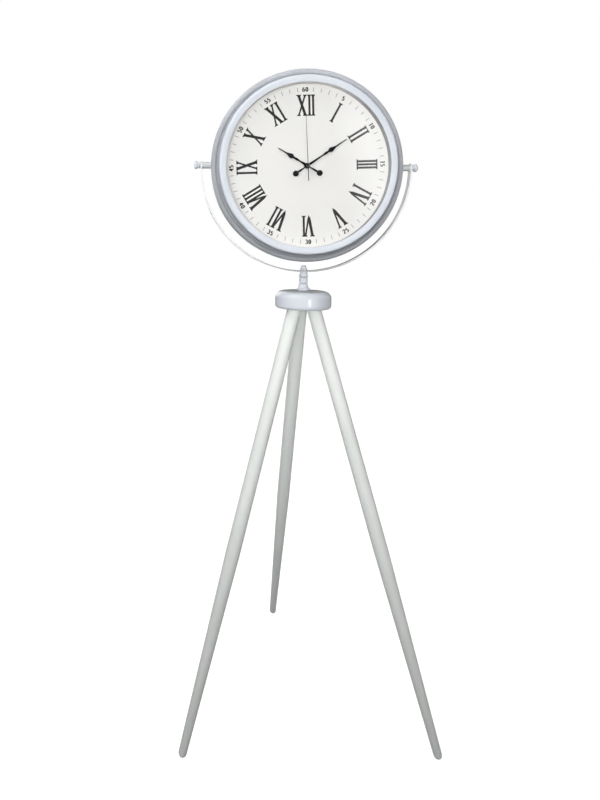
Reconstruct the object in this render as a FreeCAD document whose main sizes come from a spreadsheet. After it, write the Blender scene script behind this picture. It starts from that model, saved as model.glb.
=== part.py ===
import FreeCAD, Part
import math
import os
import Sketcher
from FreeCAD import Placement, Rotation, Vector

# Tripod floor clock: a round clock head hung on two side pivots in a half-round yoke, the yoke turning on
# a short column over a domed hub, and three splayed wooden legs screwed into the hub.
# Millimetres, +Z up, origin on the floor under the column, dial facing -Y.

os.makedirs("parts", exist_ok=True)
doc = FreeCAD.newDocument("tripod_floor_clock")
sheet = doc.addObject("Spreadsheet::Sheet", "dims")

DIMENSIONS = [
    # stand
    ("foot_radius", 315, "column axis to the point where a leg axis meets the floor"),
    ("leg_top_radius", 26, "column axis to a leg axis at the underside of the hub"),
    ("hub_bottom", 937, "floor to the underside of the hub"),
    ("hub_radius", 64.3, "hub at its widest"),
    ("hub_height", 40, "hub from underside to flat top"),
    ("hub_top_round", 16.3, "large round of the hub's upper edge"),
    ("hub_low_round", 8, "small round of the hub's lower edge"),
    ("core_inner", 45.5, "inside of the cored groove under the hub"),
    ("core_outer", 54, "outside of the cored groove under the hub"),
    ("core_depth", 22, "depth of the cored groove"),
    ("socket_depth", 10, "how far a leg enters the hub along its axis"),
    ("leg_radius", 16, "leg over its straight upper part"),
    ("leg_tip_radius", 9, "rounded leg tip"),
    ("leg_tip_centre", 8.6, "height of the tip's centre along the leg"),
    ("leg_taper_height", 425, "height along the leg where the taper ends"),
    ("leg_clearance", 0.2, "leg in its socket, radial"),
    ("bolt_radius", 4, "M8 shank"),
    ("bolt_clearance", 0.05, "M8 shank in its hole, radial"),
    ("leg_bolt_in_leg", 34, "hanger bolt inside the leg"),
    ("leg_bolt_in_hub", 17, "hanger bolt beyond the leg's end"),
    # column and swivel
    ("flange_radius", 15, "round foot flange of the column"),
    ("neck_radius", 11.6, "column just above its flange"),
    ("ring_radius", 9.9, "turned rings of the column"),
    ("groove_radius", 8.2, "grooves between the rings"),
    ("spindle_top_radius", 8.2, "column under the swivel washer"),
    ("washer_thick", 1, "flat washers of the swivel and the pivots"),
    ("fit_gap", 0.05, "free play between stacked faces that turn on each other"),
    ("cap_radius", 8, "cap nut at its foot"),
    ("cap_top_radius", 5.4, "cap nut at its top"),
    ("cap_height", 10.8, "cap nut"),
    # yoke
    ("pivot_height", 1265.5, "floor to the pivot axis of the clock head"),
    ("yoke_radius", 242.5, "middle of the yoke strap"),
    ("strap_thick", 4, "yoke strap thickness"),
    ("strap_width", 15, "yoke strap width"),
    ("strap_end", 10, "straight strap above and below the pivot hole"),
    ("strap_flat", 13, "half length of the pressed flat over the column"),
    # clock case
    ("case_radius", 218, "outside of the case wall"),
    ("case_wall", 2, "sheet of the case wall"),
    ("bead_radius", 6, "rolled bead round the case"),
    ("bead_centre", 214.4, "radius of the bead's middle"),
    ("bead_level", 13.5, "bead in front of the pivot axis"),
    ("case_back", 30, "rear edge of the case behind the pivot axis"),
    ("hem_radius", 1.75, "rolled hem at the rear edge"),
    ("neck_inner", 198.5, "inside of the case's front neck"),
    ("neck_outer", 200.7, "outside of the case's front neck"),
    ("neck_front", 28, "front end of the neck"),
    ("shoulder_level", 22, "shoulder that the bezel stands on"),
    ("cove_radius", 9.2, "hollow moulding between bezel and bead"),
    ("ledge_level", 11, "inner ledge that the dial board rests on"),
    ("bezel_inner", 187, "bezel opening"),
    ("bezel_outer", 203, "outside of the bezel"),
    ("bezel_crest", 34.6, "front of the bezel"),
    ("bezel_lip_round", 3.2, "round of the bezel's inner edge"),
    ("bezel_edge_round", 5, "round of the bezel's outer edge"),
    ("bezel_crown", 26.1, "face of the bezel, falling towards the glass"),
    ("glass_radius", 196.5, "front glass"),
    ("glass_front", 31.5, "front face of the glass"),
    ("glass_thick", 2.5, "front glass"),
    ("spacer_inner", 187.4, "inside of the spacer ring"),
    ("spacer_wall", 3, "wall of the spacer ring"),
    ("dial_radius", 196, "printed dial sheet"),
    ("dial_thick", 0.8, "printed dial sheet"),
    ("board_radius", 212, "board behind the dial"),
    ("board_thick", 4, "board behind the dial"),
    ("bracket_thick", 1.5, "retaining bracket sheet"),
    ("bracket_width", 14, "retaining bracket"),
    ("bracket_foot", 203, "radius that a bracket's foot reaches in to"),
    ("bracket_wall", 215.8, "outer face of a bracket"),
    ("bracket_tail", 10, "bracket along the wall behind the pivot axis"),
    ("bracket_count", 6, "retaining brackets round the board"),
    ("screw_circle", 208, "radius of the bracket screws"),
    ("screw_radius", 1.5, "bracket screw shank"),
    ("screw_head", 3, "bracket screw head"),
    # pivots
    ("sleeve_radius", 7.5, "spacing sleeve between case and yoke"),
    ("pivot_head", 6.6, "head of a pivot bolt inside the case"),
    ("pivot_head_thick", 5, "head of a pivot bolt"),
    ("friction_washer", 8.5, "fibre washer on the yoke"),
    ("knob_radius", 9.3, "pivot knob"),
    ("knob_collar", 7.2, "collar of a pivot knob"),
    ("knob_neck", 6, "neck between collar and knob"),
    ("knob_end", 259, "pivot axis middle to the end of a knob"),
    # movement
    ("gasket_thick", 0.8, "rubber between board and movement"),
    ("housing_width", 56, "movement housing"),
    ("housing_top", 20, "hand axis to the housing's upper edge"),
    ("housing_low", 38, "hand axis to the housing's lower edge"),
    ("housing_depth", 16, "movement housing without its cover"),
    ("housing_wall", 1.2, "housing wall"),
    ("room_low", 19.9, "hand axis to the wall above the battery"),
    ("cover_thick", 1, "movement cover"),
    ("bush_radius", 4, "threaded bush through the dial"),
    ("bush_length", 11, "bush in front of the housing floor"),
    ("bush_flange", 6, "flange of the bush"),
    ("bush_nut_flat", 6, "half the nut's width across flats"),
    ("bush_nut_thick", 2.5, "nut on the dial"),
    ("dial_washer_radius", 7.5, "washer under the nut"),
    ("dial_washer_thick", 0.6, "washer under the nut"),
    ("hour_tube", 2.6, "hour tube outside"),
    ("minute_tube", 1.7, "minute arbor outside"),
    ("second_pin", 0.5, "second arbor"),
    ("tube_play", 0.06, "arbors in each other, radial"),
    ("wheel_thick", 0.8, "train wheels"),
    ("pinion_long", 1.2, "train pinions"),
    ("arbor_radius", 0.6, "third, fourth and rotor arbors"),
    ("motion_arbor", 0.9, "arbor of the setting wheel"),
    ("cannon_teeth", 12, "pinion on the minute arbor"),
    ("motion_teeth", 36, "setting wheel"),
    ("motion_leaves", 10, "pinion of the setting wheel"),
    ("hour_teeth", 40, "hour wheel"),
    ("centre_teeth", 64, "centre wheel"),
    ("third_teeth", 60, "third wheel"),
    ("third_leaves", 8, "pinion of the third wheel"),
    ("second_teeth", 40, "second wheel"),
    ("second_leaves", 8, "pinion of the second wheel"),
    ("fourth_teeth", 48, "fourth wheel"),
    ("fourth_leaves", 8, "pinion of the fourth wheel"),
    ("rotor_leaves", 8, "pinion of the motor rotor"),
    ("setting_distance", 10.8, "hand axis to setting arbor"),
    ("third_distance", 10.2, "hand axis to third arbor"),
    ("fourth_distance", 7.2, "hand axis to fourth arbor"),
    ("rotor_distance", 7, "fourth arbor to rotor"),
    ("magnet_radius", 3, "rotor magnet"),
    ("set_knob_radius", 6.5, "setting knob"),
    ("set_knob_long", 4, "setting knob"),
    ("battery_radius", 7.1, "AA cell"),
    ("battery_length", 49.3, "AA cell without its stud"),
    ("battery_stud", 2.75, "positive stud of the cell"),
    # hands
    ("hour_length", 78, "hour hand, axis to tip"),
    ("minute_length", 107, "minute hand, axis to tip"),
    ("second_length", 116, "second hand, axis to tip"),
    ("hour_swell", 43.5, "middle of the hour hand's spade"),
    ("minute_swell", 64.2, "middle of the minute hand's spade"),
    ("swell_radius", 5.6, "round spade of a hand"),
    ("tail_length", 32.7, "hand axis to the middle of a ball tail"),
    ("ball_radius", 6.8, "ball tail of the hour and minute hands"),
    ("hand_thick", 0.6, "hour and minute hands"),
    ("second_tail", 35, "plain tail of the second hand"),
    ("hour_rest", 300, "hour hand at rest, degrees clockwise from twelve"),
    ("minute_rest", 55.2, "minute hand at rest"),
    ("second_rest", -3.5, "second hand at rest"),
]

for row, (alias, number, meaning) in enumerate(DIMENSIONS, start=1):
    sheet.set(f"A{row}", meaning)
    sheet.set(f"B{row}", str(number))
    sheet.setAlias(f"B{row}", alias)
doc.recompute()


class Size:
    """A length worked out from the sheet: its number now, and the expression that keeps it bound."""

    def __init__(self, number, text):
        self.number = number
        self.text = text

    def __add__(self, other):
        other = as_size(other)
        return Size(self.number + other.number, f"({self.text} + {other.text})")

    def __sub__(self, other):
        other = as_size(other)
        return Size(self.number - other.number, f"({self.text} - {other.text})")

    def __mul__(self, other):
        other = as_size(other)
        return Size(self.number * other.number, f"({self.text} * {other.text})")

    def __truediv__(self, other):
        other = as_size(other)
        return Size(self.number / other.number, f"({self.text} / {other.text})")

    def __rsub__(self, other):
        return as_size(other) - self

    def __neg__(self):
        return Size(-self.number, f"(-{self.text})")

    __radd__ = __add__
    __rmul__ = __mul__


def as_size(value):
    return value if isinstance(value, Size) else Size(float(value), repr(float(value)))


def root(size):
    return Size(math.sqrt(size.number), f"sqrt({size.text})")


class Dimensions:
    """Every alias of the sheet as a Size."""


D = Dimensions()
for alias, number, meaning in DIMENSIONS:
    setattr(D, alias, Size(float(sheet.get(alias)), f"dims.{alias}"))

ZERO = as_size(0)
nodes = []


def bind(thing, name, size):
    """Set a property from a Size and keep it bound to the sheet."""
    size = as_size(size)
    thing.setExpression(name, size.text)


def new_body(label, place=Placement(), node=True):
    body = doc.addObject("PartDesign::Body", label)
    body.Label = label
    body.Placement = place
    if node:
        nodes.append(body)
    return body


def group(label, members):
    """Identical loose pieces under one name."""
    compound = doc.addObject("Part::Compound", label)
    compound.Label = label
    compound.Links = members
    nodes.append(compound)
    return compound


def origin_feature(body, role):
    return next(item for item in body.Origin.OriginFeatures if item.Role == role)


def new_sketch(body, plane, level=ZERO, turned=0.0):
    """A sketch on one of the body's own planes, lifted off it by level and turned in it by degrees."""
    sketch = body.newObject("Sketcher::SketchObject", "sketch")
    sketch.AttachmentSupport = (origin_feature(body, plane), [""])
    sketch.MapMode = "FlatFace"
    level = as_size(level)
    sketch.AttachmentOffset = Placement(Vector(0, 0, level.number), Rotation(Vector(0, 0, 1), turned))
    bind(sketch, "AttachmentOffset.Base.z", level)
    return sketch


def constrain(sketch, kind, *points_and_size):
    *points, size = points_and_size
    index = sketch.addConstraint(Sketcher.Constraint(kind, *points, size.number))
    sketch.setExpression(f"Constraints[{index}]", size.text)


def tie(sketch, geometry, end, x, y):
    """Hold one sketch point at bound distances from the sketch's origin."""
    for kind, axis, size in (("DistanceX", -2, x), ("DistanceY", -1, y)):
        if abs(size.number) < 1e-9:
            sketch.addConstraint(Sketcher.Constraint("PointOnObject", geometry, end, axis))
        elif size.number > 0:
            constrain(sketch, kind, -1, 1, geometry, end, size)
        else:
            constrain(sketch, kind, geometry, end, -1, 1, -size)


def arc_through(start, end, radius, turn):
    """The arc shorter than a half turn from start to end, bending left (+1) or right (-1)."""
    chord = end - start
    middle = start + chord * 0.5
    normal = Vector(-chord.y, chord.x, 0).normalize()
    rise = math.sqrt(max(radius ** 2 - (chord.Length / 2) ** 2, 0.0))
    centre = middle + normal * rise * turn
    first, last = (start, end) if turn > 0 else (end, start)
    angles = [math.atan2(point.y - centre.y, point.x - centre.x) for point in (first, last)]
    return Part.ArcOfCircle(Part.Circle(centre, Vector(0, 0, 1), radius), *angles)


def outline(sketch, corners):
    """A closed outline. A corner is (x, y), or (x, y, radius, turn) where an arc leads to the next corner."""
    corners = [tuple(as_size(value) for value in corner[:3]) + tuple(corner[3:]) for corner in corners]
    starts, ends = [], []
    for corner, following in zip(corners, corners[1:] + corners[:1]):
        here = Vector(corner[0].number, corner[1].number, 0)
        there = Vector(following[0].number, following[1].number, 0)
        if len(corner) == 2:
            index = sketch.addGeometry(Part.LineSegment(here, there))
            starts.append((index, 1))
            ends.append((index, 2))
        else:
            index = sketch.addGeometry(arc_through(here, there, corner[2].number, corner[3]))
            starts.append((index, 1 if corner[3] > 0 else 2))
            ends.append((index, 2 if corner[3] > 0 else 1))
            constrain(sketch, "Radius", index, corner[2])
    for place, corner in enumerate(corners):
        sketch.addConstraint(Sketcher.Constraint("Coincident", *ends[place - 1], *starts[place]))
        tie(sketch, *starts[place], corner[0], corner[1])
    return sketch


def circles(sketch, rounds):
    """Full circles given as (radius, x, y)."""
    for radius, x, y in rounds:
        radius, x, y = as_size(radius), as_size(x), as_size(y)
        circle = Part.Circle(Vector(x.number, y.number, 0), Vector(0, 0, 1), radius.number)
        index = sketch.addGeometry(circle)
        constrain(sketch, "Radius", index, radius)
        tie(sketch, index, 3, x, y)
    return sketch


def rectangle(left, right, low, high):
    return [(left, low), (right, low), (right, high), (left, high)]


def pad(body, sketch, length, symmetric=False, backward=False):
    feature = body.newObject("PartDesign::Pad", "pad")
    feature.Profile = sketch
    bind(feature, "Length", length)
    feature.SideType = "Symmetric" if symmetric else "One side"
    feature.Reversed = backward
    return feature


def pocket(body, sketch, length=None, forward=False):
    """A cut against the sketch's normal, or along it when forward; right through both ways with no length."""
    feature = body.newObject("PartDesign::Pocket", "pocket")
    feature.Profile = sketch
    feature.Reversed = forward
    if length is None:
        feature.Type = "ThroughAll"
        feature.SideType = "Symmetric"
    else:
        bind(feature, "Length", length)
    return feature


def revolve(body, corners):
    """A turned or spun shape: an outline of (radius, height) swept once round the body's Z axis."""
    sketch = outline(new_sketch(body, "XZ_Plane"), corners)
    feature = body.newObject("PartDesign::Revolution", "turned")
    feature.Profile = sketch
    feature.ReferenceAxis = (sketch, ["V_Axis"])
    feature.Angle = 360
    return feature


def polar(body, feature, count):
    """Repeat a feature evenly round the body's Z axis."""
    pattern = body.newObject("PartDesign::PolarPattern", "round_about")
    pattern.Originals = [feature]
    pattern.Axis = (origin_feature(body, "Z_Axis"), [""])
    pattern.Angle = 360
    bind(pattern, "Occurrences", count)
    body.Tip = pattern
    return pattern


def round_edges(body, radius, wanted):
    """Fillet the edges of the body whose middle point passes the test."""
    doc.recompute()
    base = body.Tip
    names = []
    for number, edge in enumerate(base.Shape.Edges, start=1):
        if wanted(edge.valueAt((edge.FirstParameter + edge.LastParameter) / 2)):
            names.append(f"Edge{number}")
    feature = body.newObject("PartDesign::Fillet", "rounded")
    feature.Base = (base, names)
    bind(feature, "Radius", radius)
    return feature


def pin(body, radius, low, high, x=ZERO, y=ZERO):
    """A plain round post from level low to level high."""
    return pad(body, circles(new_sketch(body, "XY_Plane", low), [(radius, x, y)]), as_size(high) - low)


def tube(body, inner, outer, low, high):
    """A ring of rectangular section."""
    return revolve(body, rectangle(inner, outer, low, high))


def drill(body, radius, x=ZERO, y=ZERO):
    """A round hole right through along Z."""
    return pocket(body, circles(new_sketch(body, "XY_Plane"), [(radius, x, y)]))


def gear(body, teeth, module, level, width, tooth_angle):
    """A toothed disc with one tooth centred on tooth_angle, from level forward by width."""
    disc_radius = module * (teeth / 2 - 1.15)
    tip_radius = module * (teeth / 2 + 0.85)
    pad(body, circles(new_sketch(body, "XY_Plane", level), [(disc_radius, 0, 0)]), width)
    tooth = outline(new_sketch(body, "XY_Plane", level, tooth_angle), [
        (disc_radius - module * 0.4, -module * 0.62),
        (module * (teeth / 2), -module * 0.56),
        (tip_radius, -module * 0.24),
        (tip_radius, module * 0.24),
        (module * (teeth / 2), module * 0.56),
        (disc_radius - module * 0.4, module * 0.62)])
    polar(body, pad(body, tooth, width), teeth)


def gap_toward(angle, teeth):
    """Tooth angle that leaves a gap facing the given direction."""
    return angle + 180.0 / teeth.number


def polar_point(radius, degrees):
    """A point of the dial plane, degrees anticlockwise from three o'clock."""
    return radius.number * math.cos(math.radians(degrees)), radius.number * math.sin(math.radians(degrees))


HEAD = Placement(Vector(0, 0, D.pivot_height.number), Rotation(Vector(1, 0, 0), 90))
hole = D.bolt_radius + D.bolt_clearance

# Stand: hub, legs and their bolts.
splay = math.degrees(math.atan2(D.foot_radius.number - D.leg_top_radius.number, D.hub_bottom.number))
leg_reach = root(D.hub_bottom * D.hub_bottom
                 + (D.foot_radius - D.leg_top_radius) * (D.foot_radius - D.leg_top_radius))
leg_length = leg_reach + D.socket_depth
LEG_AZIMUTHS = {"leg_front_left": 210, "leg_front_right": 330, "leg_rear": 90}

hub = new_body("hub", Placement(Vector(0, 0, D.hub_bottom.number), Rotation()))
revolve(hub, [
    (0, 0),
    (D.core_inner, 0),
    (D.core_inner, D.core_depth),
    (D.core_outer, D.core_depth),
    (D.core_outer, 0),
    (D.hub_radius - D.hub_low_round, 0, D.hub_low_round, 1),
    (D.hub_radius, D.hub_low_round),
    (D.hub_radius, D.hub_height - D.hub_top_round, D.hub_top_round, 1),
    (D.hub_radius - D.hub_top_round, D.hub_height),
    (0, D.hub_height)])
pocket(hub, circles(new_sketch(hub, "XY_Plane", D.hub_height), [(hole, 0, 0)]), 20)
lead_in = 14.0
leg_slope = Rotation(Vector(1, 0, 0), splay)
socket_start = Vector(0, D.leg_top_radius.number, 0) - leg_slope.multVec(Vector(0, 0, lead_in))
for radius, depth in ((D.leg_radius + D.leg_clearance, D.socket_depth),
                      (hole, D.socket_depth + D.leg_bolt_in_hub + 1)):
    socket = hub.newObject("PartDesign::SubtractiveCylinder", "socket")
    bind(socket, "Radius", radius)
    bind(socket, "Height", depth + lead_in)
    socket.Placement = Placement(socket_start, leg_slope)
    polar(hub, socket, as_size(3))


def leg_place(azimuth):
    """Floor point of a leg's axis, local Z running up the leg."""
    x, y = polar_point(D.foot_radius, azimuth)
    return Placement(Vector(x, y, 0), Rotation(Vector(0, 0, 1), azimuth) * Rotation(Vector(0, 1, 0), -splay))


leg_bolts = []
for label, azimuth in LEG_AZIMUTHS.items():
    leg = new_body(label, leg_place(azimuth))
    revolve(leg, [
        (0, D.leg_tip_centre - D.leg_tip_radius, D.leg_tip_radius, 1),
        (D.leg_tip_radius, D.leg_tip_centre),
        (D.leg_radius, D.leg_taper_height),
        (D.leg_radius, leg_length - 1.2),
        (D.leg_radius - 1.2, leg_length),
        (0, leg_length)])
    pocket(leg, circles(new_sketch(leg, "XY_Plane", leg_length), [(hole, 0, 0)]), D.leg_bolt_in_leg + 1)
    floor_cut = leg.newObject("PartDesign::SubtractiveBox", "floor_cut")
    floor_cut.Length = floor_cut.Width = floor_cut.Height = 60
    level = Rotation(Vector(0, 1, 0), splay)
    floor_cut.Placement = Placement(level.multVec(Vector(-30, -30, -60)), level)
    bolt = new_body("leg_bolt", leg_place(azimuth), node=False)
    pin(bolt, D.bolt_radius, leg_length - D.leg_bolt_in_leg, leg_length + D.leg_bolt_in_hub)
    leg_bolts.append(bolt)
group("leg_bolts", leg_bolts)

# Column: turned spindle on a threaded rod, with the swivel washers and the cap nut.
hub_top = D.hub_bottom + D.hub_height
on_hub = Placement(Vector(0, 0, hub_top.number), Rotation())
strap_inner = D.yoke_radius - D.strap_thick / 2
strap_outer = D.yoke_radius + D.strap_thick / 2
flat_low = D.pivot_height - root(strap_outer * strap_outer - D.strap_flat * D.strap_flat) - hub_top
flat_high = D.pivot_height - root(strap_inner * strap_inner - D.strap_flat * D.strap_flat) - hub_top
spindle_top = flat_low - D.fit_gap - D.washer_thick

spindle = new_body("spindle", on_hub)
revolve(spindle, [
    (hole, 0),
    (D.flange_radius - 2.9, 0, 4.2, 1),
    (D.flange_radius - 2.9, 8),
    (D.neck_radius, 9.2),
    (D.ring_radius, 17),
    (D.groove_radius, 17.4),
    (D.groove_radius, 19.2),
    (D.ring_radius, 19.6),
    (D.ring_radius, 31),
    (D.groove_radius, 31.4),
    (D.groove_radius, 33.2),
    (D.ring_radius + 0.3, 33.6, 1.9, 1),
    (D.ring_radius + 0.3, 37),
    (D.spindle_top_radius, spindle_top),
    (hole, spindle_top)])

swivel_washer = new_body("swivel_washer", on_hub)
tube(swivel_washer, hole, D.spindle_top_radius + 0.6, spindle_top, spindle_top + D.washer_thick)

cap_washer = new_body("cap_washer", on_hub)
cap_low = flat_high + D.fit_gap + D.washer_thick
tube(cap_washer, hole, D.cap_radius + 0.5, cap_low - D.washer_thick, cap_low)

column_rod = new_body("column_rod", on_hub)
pin(column_rod, D.bolt_radius, as_size(-19.5), cap_low + D.cap_height - 3)

cap_nut = new_body("cap_nut", on_hub)
cap_top = cap_low + D.cap_height
revolve(cap_nut, [
    (hole, cap_low),
    (D.cap_radius, cap_low),
    (D.cap_radius, cap_low + 2.5),
    (D.cap_top_radius, cap_top - 2, 2, 1),
    (D.cap_top_radius - 2, cap_top),
    (0, cap_top),
    (0, cap_top - 2.5),
    (hole, cap_top - 2.5)])

# Yoke: a flat bar bent to a half circle, straight at its pivot ends and pressed flat over the column.
yoke = new_body("yoke_strap", Placement(Vector(0, 0, D.pivot_height.number), Rotation()))
end_outer = root(strap_outer * strap_outer - D.strap_end * D.strap_end)
end_inner = root(strap_inner * strap_inner - D.strap_end * D.strap_end)
low_outer = -root(strap_outer * strap_outer - D.strap_flat * D.strap_flat)
low_inner = -root(strap_inner * strap_inner - D.strap_flat * D.strap_flat)
strap = outline(new_sketch(yoke, "XZ_Plane"), [
    (end_outer, D.strap_end),
    (end_outer, -D.strap_end, strap_outer, -1),
    (D.strap_flat, low_outer),
    (-D.strap_flat, low_outer, strap_outer, -1),
    (-end_outer, -D.strap_end),
    (-end_outer, D.strap_end),
    (-end_inner, D.strap_end),
    (-end_inner, -D.strap_end, strap_inner, 1),
    (-D.strap_flat, low_inner),
    (D.strap_flat, low_inner, strap_inner, 1),
    (end_inner, -D.strap_end),
    (end_inner, D.strap_end)])
pad(yoke, strap, D.strap_width, symmetric=True)
drill(yoke, hole)
pocket(yoke, circles(new_sketch(yoke, "YZ_Plane"), [(hole, 0, 0)]))
half_width = D.strap_width.number / 2
round_edges(yoke, D.strap_width / 2 - 0.1,
            lambda point: point.z > D.strap_end.number - 0.1 and abs(abs(point.y) - half_width) < 0.1)

# Pivots: bolt, sleeve, washers and knob on each side, drawn along the pivot axis outward.
knob_low = end_outer + D.fit_gap * 2 + D.washer_thick
sleeve_end = end_inner - D.fit_gap * 2 - D.washer_thick
SIDES = {"left": -90, "right": 90}
pivots = {"pivot_bolts": [], "pivot_sleeves": [], "friction_washers": [], "knob_washers": []}
for side, turn in SIDES.items():
    outward = Placement(Vector(0, 0, D.pivot_height.number), Rotation(Vector(0, 1, 0), turn))
    bolt = new_body("pivot_bolt", outward, node=False)
    head_face = D.case_radius - D.case_wall - 0.3
    revolve(bolt, [
        (0, head_face - D.pivot_head_thick),
        (D.pivot_head - 1, head_face - D.pivot_head_thick),
        (D.pivot_head, head_face - D.pivot_head_thick + 1),
        (D.pivot_head, head_face),
        (D.bolt_radius, head_face),
        (D.bolt_radius, D.knob_end - 5),
        (0, D.knob_end - 5)])
    pivots["pivot_bolts"].append(bolt)
    sleeve = new_body("pivot_sleeve", outward, node=False)
    tube(sleeve, hole + 0.1, D.sleeve_radius, D.case_radius, sleeve_end)
    pivots["pivot_sleeves"].append(sleeve)
    inner_washer = new_body("friction_washer", outward, node=False)
    washer_end = end_inner - D.fit_gap
    tube(inner_washer, hole, D.friction_washer, washer_end - D.washer_thick, washer_end)
    pivots["friction_washers"].append(inner_washer)
    outer_washer = new_body("knob_washer", outward, node=False)
    tube(outer_washer, hole, D.friction_washer - 0.5, knob_low - D.washer_thick - D.fit_gap, knob_low - D.fit_gap)
    pivots["knob_washers"].append(outer_washer)
    knob = new_body(f"knob_{side}", outward)
    revolve(knob, [
        (hole, knob_low),
        (D.knob_collar, knob_low),
        (D.knob_collar, knob_low + 2.6),
        (D.knob_neck, knob_low + 3.4),
        (D.knob_neck, knob_low + 4, 5, 1),
        (D.knob_radius, D.knob_end - 5.2, 6.5, 1),
        (D.knob_radius - 4.6, D.knob_end),
        (0, D.knob_end),
        (0, D.knob_end - 4.4),
        (hole, D.knob_end - 4.4)])
for label, members in pivots.items():
    group(label, members)

# Case: spun ring with hollow moulding, rolled bead and hemmed rear edge; the pivot bolts pass its wall.
case = new_body("case_ring", HEAD)
bead_side = D.bead_level - root(D.bead_radius * D.bead_radius
                                - (D.case_radius - D.bead_centre) * (D.case_radius - D.bead_centre))
wall_inner = D.case_radius - D.case_wall
hem_middle = D.hem_radius - D.case_back
revolve(case, [
    (D.neck_inner, D.neck_front),
    (D.neck_inner, D.shoulder_level - 1.5),
    (D.neck_inner + 9, D.ledge_level),
    (wall_inner, D.ledge_level),
    (wall_inner, hem_middle + 4),
    (D.case_radius - D.hem_radius * 2, hem_middle + 2.5),
    (D.case_radius - D.hem_radius * 2, hem_middle, D.hem_radius, 1),
    (D.case_radius - D.hem_radius, -D.case_back, D.hem_radius, 1),
    (D.case_radius, hem_middle),
    (D.case_radius, bead_side, D.bead_radius, 1),
    (D.bead_centre, D.bead_level + D.bead_radius, D.bead_radius, 1),
    (D.bead_centre - D.bead_radius, D.bead_level, D.cove_radius, -1),
    (D.bezel_outer, D.shoulder_level),
    (D.neck_outer, D.shoulder_level),
    (D.neck_outer, D.neck_front)])
pocket(case, circles(new_sketch(case, "YZ_Plane"), [(hole + 0.05, 0, 0)]))

bezel = new_body("bezel", HEAD)
revolve(bezel, [
    (D.bezel_inner, D.glass_front),
    (D.neck_outer + 0.3, D.glass_front),
    (D.neck_outer + 0.3, D.shoulder_level + 0.05),
    (D.bezel_outer, D.shoulder_level + 0.05),
    (D.bezel_outer, D.bezel_crest - D.bezel_edge_round, D.bezel_edge_round, 1),
    (D.bezel_outer - D.bezel_edge_round, D.bezel_crest, D.bezel_crown, 1),
    (D.bezel_inner + 2, D.bezel_crest - 1.6, D.bezel_lip_round, 1),
    (D.bezel_inner, D.glass_front + 0.6)])

glass = new_body("glass", HEAD)
glass_back = D.glass_front - D.glass_thick
pin(glass, D.glass_radius, glass_back, D.glass_front - 0.02)

board_front = D.ledge_level - 0.02
board_back = board_front - D.board_thick
dial_front = board_front + D.dial_thick
spacer = new_body("spacer_ring", HEAD)
tube(spacer, D.spacer_inner, D.spacer_inner + D.spacer_wall, dial_front, glass_back)

dial = new_body("dial_plate", HEAD)
pin(dial, D.dial_radius, board_front, dial_front)
drill(dial, D.bush_radius + 0.6)

board = new_body("dial_board", HEAD)
pin(board, D.board_radius, board_back, board_front)
drill(board, D.bush_radius + 0.6)
screw_hole = circles(new_sketch(board, "XY_Plane", board_back, 30), [(D.screw_radius + 0.05, D.screw_circle, 0)])
polar(board, pocket(board, screw_hole, D.board_thick - 0.6, forward=True), D.bracket_count)

brackets, screws = [], []
for step in range(int(D.bracket_count.number)):
    bearing = 30 + 360.0 / D.bracket_count.number * step
    place = HEAD * Placement(Vector(), Rotation(Vector(0, 0, 1), bearing))
    bracket = new_body("retaining_bracket", place, node=False)
    bent = outline(new_sketch(bracket, "XZ_Plane"), [
        (D.bracket_foot, board_back),
        (D.bracket_foot, board_back - D.bracket_thick),
        (D.bracket_wall - D.bracket_thick, board_back - D.bracket_thick),
        (D.bracket_wall - D.bracket_thick, -D.bracket_tail),
        (D.bracket_wall, -D.bracket_tail),
        (D.bracket_wall, board_back)])
    pad(bracket, bent, D.bracket_width, symmetric=True)
    pocket(bracket, circles(new_sketch(bracket, "XY_Plane"), [(D.screw_radius + 0.1, D.screw_circle, 0)]))
    brackets.append(bracket)
    at_screw = place * Placement(Vector(D.screw_circle.number, 0, 0), Rotation())
    screw = new_body("bracket_screw", at_screw, node=False)
    seat = board_back - D.bracket_thick
    revolve(screw, [
        (0, seat - 1.8),
        (D.screw_head - 1.2, seat - 1.8, 1.4, 1),
        (D.screw_head, seat - 0.8),
        (D.screw_head, seat),
        (D.screw_radius, seat),
        (D.screw_radius, board_front - 1.6),
        (0, board_front - 0.7)])
    pocket(screw, outline(new_sketch(screw, "XY_Plane", seat - 1.8), rectangle(-2.2, 2.2, -0.35, 0.35)),
           0.7, forward=True)
    screws.append(screw)
group("retaining_brackets", brackets)
group("bracket_screws", screws)

# Movement housing behind the board: the hand axis is local Z, levels count forward from the pivot axis.
front = board_back - D.gasket_thick
floor = front - D.housing_wall
rear = front - D.housing_depth
half = D.housing_width / 2
inside = half - D.housing_wall
bay_high = -D.room_low - D.housing_wall
bay_low = D.housing_wall - D.housing_low
plate_level = front - 9.5
plate_thick = as_size(0.6)
SETTING = 270.0
THIRD = 150.0
FOURTH = 30.0
ROTOR = 320.0
setting_x, setting_y = polar_point(D.setting_distance, SETTING)
third_x, third_y = polar_point(D.third_distance, THIRD)
fourth_x, fourth_y = polar_point(D.fourth_distance, FOURTH)
rotor_step = polar_point(D.rotor_distance, ROTOR)
rotor_x, rotor_y = fourth_x + rotor_step[0], fourth_y + rotor_step[1]
pivot_hole = D.arbor_radius + 0.05


def at(x, y):
    """A place on the dial plane of the head."""
    return HEAD * Placement(Vector(x, y, 0), Rotation())


gasket = new_body("movement_gasket", HEAD)
pad(gasket, outline(new_sketch(gasket, "XY_Plane", front), rectangle(3 - half, half - 3, -17, 17)), D.gasket_thick)
drill(gasket, D.bush_flange + 0.2)

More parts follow.
